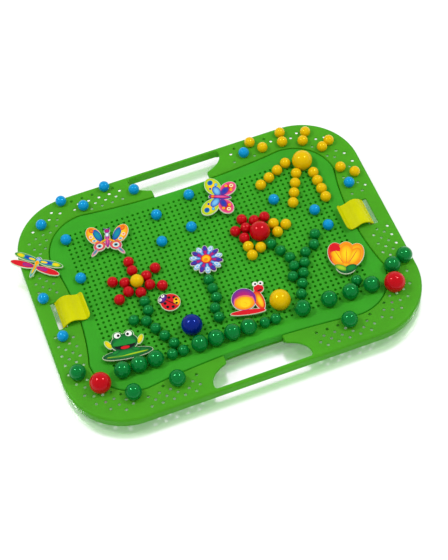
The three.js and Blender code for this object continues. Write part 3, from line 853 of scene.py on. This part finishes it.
# Each figure: node, place, turn, outline patches, then printed details.
# A patch is (x, y, half length, half width, turn, rim colour, heart colour).
FIGURES = [
    ("figure_butterfly_left", hole(7, 4), -15, both_sides(
        (12.2, 5, 9.9, 6.1, 65, ORANGE, YELLOW),
        (7.2, -7.2, 5.5, 4.7, -35, MAGENTA, ORANGE),
        (11.6, -13.4, 4.9, 1.4, -52, PINK, TEAL),
    ) + [(0, -1, 2.2, 8.7, 0, MAGENTA, PINK), (0, 8.6, 2.4, 2.4, 0, PURPLE, MAGENTA)], both_sides(
        (8.9, 4.6, 7.2, 3.2, 66, BLUE, TEAL),
        (14.2, 10.2, 2.6, 1.9, 60, RED, ORANGE),
        (14.8, 3.4, 1.7, 1.7, 0, WHITE, ORANGE),
        (11.8, -1.2, 2.0, 1.5, 0, WHITE, TEAL),
        (7.4, -7.6, 3.0, 2.6, 0, WHITE, TEAL),
        (7.4, -7.6, 1.4, 1.2, 0, BLACK, BLACK),
        (2.2, 10.6, 1.6, 0.5, 62, PURPLE, PURPLE),
        (3.6, -2.2, 3.4, 0.8, -30, YELLOW, ORANGE),
    ) + [(0, -2.4, 1.3, 6.4, 0, PURPLE, PINK), (0, 4, 1.5, 2.2, 0, SKY, WHITE)]),
    ("figure_butterfly_rear", hole(29, 3), 65, both_sides(
        (11.5, 7.5, 10.1, 6.7, 33, LIME, YELLOW),
        (10, -6.5, 8.5, 6.3, -38, PINK, RED),
    ) + [(0, 0, 2.5, 10.3, 0, PURPLE, BLUE)], both_sides(
        (6.4, 3.6, 6.0, 3.6, 30, BLUE, SKY),
        (15.4, 10.4, 2.9, 2.5, 0, TEAL, BLUE),
        (13.6, 4.8, 1.8, 1.6, 0, TEAL, SKY),
        (8.6, 9.6, 1.2, 1.0, 0, BLUE, BLUE),
        (6.8, -3.8, 5.0, 3.0, -30, PURPLE, BLUE),
        (13.2, -9.4, 2.2, 2.0, 0, YELLOW, WHITE),
        (13.2, -9.4, 1.0, 0.9, 0, RED, RED),
        (12.6, -4.6, 1.4, 1.3, 0, YELLOW, ORANGE),
        (8.6, -9.6, 1.4, 1.3, 0, YELLOW, ORANGE),
        (1.8, 8.6, 1.6, 0.45, 66, PURPLE, PURPLE),
    ) + [(0, -0.6, 1.4, 8.0, 0, MAGENTA, PINK), (0, 6.6, 1.7, 1.9, 0, RED, ORANGE)]),
    ("figure_dragonfly", on_frame(*DRAGONFLY_PLACE), -40, both_sides(
        (12, 4.2, 11.3, 3.0, 4, GREEN, LIME),
        (12, -3.6, 11.5, 3.0, -2, RED, MAGENTA),
    ) + [(0, -4.5, 1.6, 9.8, 0, TEAL, LIME), (0, 5, 2.6, 2.6, 0, BLUE, SKY)], both_sides(
        (9.6, 4.1, 6.6, 2.3, 4, TEAL, BLUE),
        (6.2, 3.8, 3.6, 1.1, 4, YELLOW, YELLOW),
        (17.2, 4.6, 3.8, 1.9, 4, LIME, YELLOW),
        (16, -3.8, 5.6, 2.3, -2, RED, RED),
        (7.4, -3.3, 5.0, 1.5, -2, PURPLE, MAGENTA),
        (1.2, 6, 0.9, 0.9, 0, WHITE, BLACK),
    ) + [(0, -3.4, 0.8, 7.4, 0, YELLOW, ORANGE), (0, 1.2, 1.8, 2.4, 0, YELLOW, ORANGE)]),
    ("figure_daisy", hole(22, 15), 0, [
        *petals(14, 9.6, 5.2, 2.5, (SKY, SKY), (PURPLE, PURPLE)), (0, 0, 8.4, 8.4, 0, PURPLE, PURPLE),
    ], [
        *petals(14, 8.6, 5.4, 1.5, (BLUE, SKY), (PURPLE, MAGENTA)),
        *petals(14, 11.2, 2.6, 1.6, (WHITE, SKY), (PURPLE, BLUE)),
        (0, 0, 4.9, 4.9, 0, RED, ORANGE), (0, 0, 4.2, 4.2, 0, ORANGE, YELLOW),
        (-0.4, -0.6, 2.6, 2.4, 30, ORANGE, ORANGE),
    ]),
    ("figure_ladybird", hole(13, 21), 42, [
        (0, -0.8, 8.5, 8.5, 0, RED, RED), (0, 6.6, 5.1, 3.9, 0, BLACK, PURPLE),
    ], both_sides(
        (3.4, 2.6, 1.5, 1.5, 0, BLACK, BLACK),
        (5.6, -1.2, 1.4, 1.4, 0, BLACK, BLACK),
        (2.2, 8.2, 1.6, 1.5, 0, WHITE, WHITE),
        (2.4, 8.5, 0.7, 0.7, 0, BLACK, BLACK),
    ) + [
        (3.2, -5.4, 4.2, 3.0, 40, ORANGE, YELLOW), (-3.2, -5.4, 1.4, 1.4, 0, BLACK, BLACK),
        (1.6, -6.2, 1.2, 1.2, 0, BLACK, BLACK), (4.4, -4.2, 1.2, 1.2, 0, BLACK, BLACK),
        (0, -1.2, 0.4, 6.4, 0, BLACK, BLACK),
    ]),
    ("figure_frog", hole(3, 26), -9, both_sides(
        (5, 8, 4.1, 3.9, 0, GREEN, GREEN), (14, 1, 4.7, 2.1, 62, LIME, YELLOW),
    ) + [
        (0, 0.5, 11.7, 8.7, 0, DARK_GREEN, GREEN), (1.2, -11, 21.7, 4.9, 0, DARK_GREEN, GREEN),
    ], both_sides(
        (5, 8.4, 2.9, 2.8, 0, WHITE, WHITE), (4.2, 8.2, 1.4, 1.5, 0, BLACK, BLACK),
        (9, -8.2, 4.4, 2.0, -18, DARK_GREEN, GREEN),
    ) + [
        (0, -2.4, 9.0, 4.2, 0, BLACK, BLACK), (0, -0.2, 10.0, 3.6, 0, GREEN, GREEN),
        (0, -4.6, 4.2, 1.7, 0, RED, RED), (-1.4, 3.8, 0.5, 0.4, 0, DARK_GREEN, DARK_GREEN),
        (1.4, 3.8, 0.5, 0.4, 0, DARK_GREEN, DARK_GREEN), (8, -12.2, 11, 0.7, 3, LIME, LIME),
        (-9, -12.4, 8, 0.6, -4, LIME, GREEN),
    ]),
    ("figure_snail", hole(26, 26), -13, [
        (-2.5, -11.8, 15.3, 2.5, 0, RED, RED), (8.6, -1, 4.3, 10.3, 12, RED, ORANGE),
        (9.8, 10.8, 4.3, 4.1, 0, RED, RED), (7.2, 16, 2.1, 2.1, 0, WHITE, WHITE),
        (12.2, 16, 2.1, 2.1, 0, WHITE, WHITE), (-4.5, 1.6, 10.7, 11.3, 0, PURPLE, MAGENTA),
    ], [
        (-4.5, -0.4, 9.8, 9.0, 0, PINK, ORANGE), (-4.5, -1.6, 9.2, 7.6, 0, ORANGE, YELLOW),
        (-3.8, -2.6, 5.4, 5.0, 0, ORANGE, ORANGE), (-3.8, -2.8, 4.9, 4.5, 0, YELLOW, YELLOW),
        (-4.2, -3.2, 2.5, 2.3, 0, ORANGE, ORANGE), (-4.3, -3.3, 2.0, 1.8, 0, YELLOW, YELLOW),
        (7.4, 15.8, 1.0, 1.0, 0, BLACK, BLACK), (12, 15.8, 1.0, 1.0, 0, BLACK, BLACK),
        (10.4, 8.8, 2.2, 0.7, 12, BLACK, BLACK), (9.4, -2.2, 2.4, 7, 12, ORANGE, YELLOW),
    ]),
    ("figure_tulip", hole(45, 24), -23, [
        (0.5, -9, 8.9, 8.3, 0, DARK_GREEN, GREEN), (-7.5, 3, 7.7, 12.7, 14, RED, ORANGE),
        (8.5, 3, 7.5, 12.3, -14, ORANGE, YELLOW), (0.5, 5, 7.9, 11.7, 0, ORANGE, YELLOW),
        (0.5, -1, 12.9, 10.3, 0, ORANGE, YELLOW),
    ], [
        (-8.6, 7.0, 5.0, 7.4, 22, RED, RED), (-6.4, 0.6, 5.2, 10.2, 26, ORANGE, YELLOW),
        (7.6, 0.8, 5.4, 10.2, -24, ORANGE, YELLOW), (0.8, 3.6, 6.2, 10.8, 0, ORANGE, YELLOW),
        (0.9, 2.4, 0.3, 9.0, 0, RED, RED), (-5.6, 0.2, 0.3, 8.0, 30, RED, RED),
        (6.6, 0.6, 0.3, 8.0, -28, RED, RED), (-3.6, -11.4, 6.4, 3.0, 160, GREEN, LIME),
        (5.0, -11.4, 5.6, 3.6, 24, DARK_GREEN, GREEN),
    ]),
]


def build_plate(name, patches):
    """White plate that stands a little outside the printed patches, on a collar and stem."""
    top = PLATE_BOTTOM + PLATE_THICKNESS
    border = PLATE_BORDER
    collar = [(COLLAR_RADIUS, PLATE_BOTTOM - 2), (COLLAR_RADIUS, PLATE_BOTTOM + 0.6)]
    plate = pins(name, [(0, 0)], collar, 24)
    for x, y, half_x, half_y, turn, _, _ in patches:
        outline = ellipse(x, y, half_x, half_y, turn)
        combine(plate, solid("patch", outline, [
            (border - 0.3, PLATE_BOTTOM), (border, PLATE_BOTTOM + 0.3), (border, top - 0.35),
            (border - 0.12, top - 0.1), (border - 0.4, top),
        ]), "UNION")
    return plate


def add_print(vertices, faces, colours, patch, height):
    """A printed patch: rings that dome up slightly and fade from rim to heart colour."""
    x, y, half_x, half_y, turn, rim, heart = patch
    outline = ellipse(x, y, half_x, half_y, turn)
    # Each ring: size, rise, share of the heart colour.
    rings = [(1.0, -0.2, 0), (1.0, 0.0, 0), (0.9, 0.05, 0.1), (0.65, 0.08, 0.6), (0.3, 0.1, 1)]
    start = len(vertices)
    for scale, rise, share in rings:
        for u, v in outline:
            vertices.append((x + (u - x) * scale, y + (v - y) * scale, height + rise))
            colours.append(mixed(rim, heart, share))
    vertices.append((x, y, height + 0.1))
    colours.append(heart)
    vertices.append((x, y, height - 0.2))
    colours.append(rim)
    count = len(outline)
    top_centre, low_centre = len(vertices) - 2, len(vertices) - 1
    for i in range(count):
        j = (i + 1) % count
        faces.append((low_centre, start + j, start + i))
        for ring in range(len(rings) - 1):
            low = start + ring * count
            faces.append((low + i, low + j, low + count + j, low + count + i))
        last = start + (len(rings) - 1) * count
        faces.append((last + i, last + j, top_centre))


def build_figure(node, place, turn, outline_patches, details):
    plate = build_plate(f"{node}_plate", outline_patches)
    surface = place[2]
    combine(plate, pins("collar", [(0, 0)], [
        (COLLAR_RADIUS - 0.2, surface + HEAD_GAP), (COLLAR_RADIUS, surface + HEAD_GAP + 0.2),
        (COLLAR_RADIUS, PLATE_BOTTOM + 0.4),
    ], 24), "UNION")
    combine(plate, pins("stem", [(0, 0)], [
        (0.7, surface - STEM_LENGTH), (STEM_RADIUS, surface - STEM_LENGTH + 0.6),
        (STEM_RADIUS, PLATE_BOTTOM + 0.3),
    ], 20), "UNION")
    smooth(plate)
    paint(plate, CARD_WHITE)

    vertices, faces, colours = [], [], []
    level = PLATE_BOTTOM + PLATE_THICKNESS
    for step, patch in enumerate(outline_patches + details):
        add_print(vertices, faces, colours, patch, level + PRINT_STEP * (step + 1))
    picture = make_object(f"{node}_picture", vertices, faces)
    ink = picture.data.color_attributes.new("ink", "FLOAT_COLOR", "POINT")
    for value, colour in zip(ink.data, colours):
        value.color = colour
    smooth(picture)
    paint(picture, INK)

    where = Matrix.Translation(Vector((place[0], place[1], 0)) * MM)
    where @= Matrix.Rotation(math.radians(turn), 4, "Z")
    for piece in (plate, picture):
        piece.data.transform(where)
        give(piece, node, f"{node}_print", node)


# ---------------------------------------------------------------------- studio
FLOOR_REACH, FLOOR_DROP = 9000, 0.0001
FLOOR_TONE, FLOOR_ROUGHNESS, FLOOR_GLOW = 0.28, 0.6, 0.14
MIRROR_TONE, MIRROR_ROUGHNESS = 0.95, 0.21
SKY_STRENGTH = 0.66
LIGHT_SIZE = 0.26
# Each light: name, place in metres, power in watts.
LIGHTS = (
    ("key_light", (-0.7, 0.42, 1.3), 7.5),
    ("second_light", (0.78, 0.02, 1.3), 7),
)


def grey(tone):
    return (tone, tone, tone, 1)


def build_floor():
    """Pale floor that mirrors the board softly."""
    reach = FLOOR_REACH
    corners = [(-reach, -reach, 0), (reach, -reach, 0), (reach, reach, 0), (-reach, reach, 0)]
    floor = make_object("floor", corners, [(0, 1, 2, 3)])
    floor.location.z = -FLOOR_DROP
    material = bpy.data.materials.new("studio_floor")
    material.use_nodes = True
    tree = material.node_tree
    matt = tree.nodes["Principled BSDF"]
    matt.inputs["Base Color"].default_value = grey(FLOOR_TONE)
    matt.inputs["Roughness"].default_value = FLOOR_ROUGHNESS
    matt.inputs["Specular IOR Level"].default_value = 0
    matt.inputs["Emission Color"].default_value = grey(1)
    matt.inputs["Emission Strength"].default_value = FLOOR_GLOW
    gloss = tree.nodes.new("ShaderNodeBsdfGlossy")
    gloss.inputs["Roughness"].default_value = MIRROR_ROUGHNESS
    gloss.inputs["Color"].default_value = grey(MIRROR_TONE)
    both = tree.nodes.new("ShaderNodeAddShader")
    output = tree.nodes["Material Output"]
    tree.links.new(matt.outputs[0], both.inputs[0])
    tree.links.new(gloss.outputs[0], both.inputs[1])
    tree.links.new(both.outputs[0], output.inputs["Surface"])
    floor.data.materials.append(material)


def build_lighting():
    """Even white sky, and two lights overhead."""
    world = bpy.data.worlds.new("studio")
    bpy.context.scene.world = world
    world.use_nodes = True
    background = world.node_tree.nodes["Background"]
    background.inputs["Color"].default_value = grey(1)
    background.inputs["Strength"].default_value = SKY_STRENGTH

    for name, place, power in LIGHTS:
        data = bpy.data.lights.new(name, "AREA")
        data.size = LIGHT_SIZE
        data.energy = power
        light = bpy.data.objects.new(name, data)
        light.location = place
        light.rotation_euler = (-Vector(place)).to_track_quat("-Z", "Y").to_euler()
        bpy.context.scene.collection.objects.link(light)
    bpy.context.scene.view_settings.view_transform = "Standard"


# -------------------------------------------------------------------- assembly
build_frame()
build_panel()
build_clip(-1, "clip_left")
build_clip(1, "clip_right")
for pin_node in ("clip_pin_left", "clip_pin_right"):
    paint(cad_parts[pin_node], PIN_STEEL)
build_pegs()
for figure in FIGURES:
    build_figure(*figure)
build_floor()
build_lighting()
